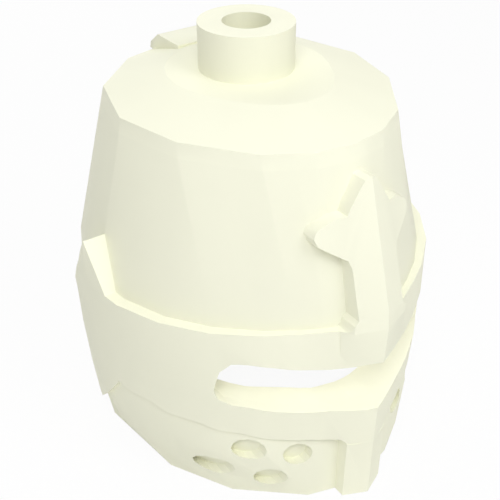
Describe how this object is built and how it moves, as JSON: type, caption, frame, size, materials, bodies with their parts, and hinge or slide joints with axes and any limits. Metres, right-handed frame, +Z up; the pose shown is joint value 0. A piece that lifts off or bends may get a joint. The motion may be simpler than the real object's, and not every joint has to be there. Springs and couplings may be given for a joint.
{
  "type": "closed helmet",
  "caption": "Flat-topped closed helmet with a crest socket, raised cross, eye slit, breaths and a hinged, latched back plate.",
  "frame": {"origin": "on the floor under the middle of the helmet's width and depth, at its bottom edge; the crown's tube stands 12.5 mm behind it", "axes": "+Z up; the wearer looks along -Y; the wearer's left is +X; the helmet is symmetric about X = 0"},
  "size_m": [0.2616, 0.2812, 0.3046],
  "materials": {
    "shell": "smooth matte ivory",
    "fittings": "satin ivory paint",
    "screws": "plain steel",
    "lining": "natural linen over wadding"
  },
  "bodies": {
    "helmet": {"crown_plate": "shell", "crest_socket": "shell", "socket_ring_nut": "fittings", "joining_ring": "shell", "joining_ring_screws": "screws", "skull": "shell", "face_guard": "shell", "brow_cross": "shell", "lower_face_plate": "shell", "inner_face_plate": "shell", "nose_bar": "shell", "guard_screws": "screws", "face_plate_screws": "screws", "cross_screws": "screws", "hinge_lug": "shell", "lug_screws": "screws", "hinge_pin": "screws", "latch_stud_right": "fittings", "latch_stud_left": "fittings", "crown_pad": "lining", "brow_pad": "lining", "ear_pad_right": "lining", "ear_pad_left": "lining"},
    "back": {"back_plate": "shell", "nape_band": "shell", "nape_band_screws": "screws", "hinge_leaf": "fittings", "leaf_screws": "screws", "latch_pivot_right": "fittings", "latch_pivot_left": "fittings", "nape_pad": "lining"},
    "hook_right": {"latch_hook_right": "fittings"},
    "hook_left": {"latch_hook_left": "fittings"}
  },
  "joints": [
    {"name": "back_hinge", "type": "hinge", "parent": "helmet", "child": "back", "pos_m": [0, 0.1135, 0.2572], "axis": [1, 0, 0], "range_deg": [0, 95]},
    {"name": "hook_right_turn", "type": "hinge", "parent": "back", "child": "hook_right", "pos_m": [-0.08252, 0.10887, 0.06], "axis": [-0.7193, 0.6947, 0], "range_deg": [0, 90]},
    {"name": "hook_left_turn", "type": "hinge", "parent": "back", "child": "hook_left", "pos_m": [0.08252, 0.10887, 0.06], "axis": [-0.7193, -0.6947, 0], "range_deg": [0, 90]}
  ]
}
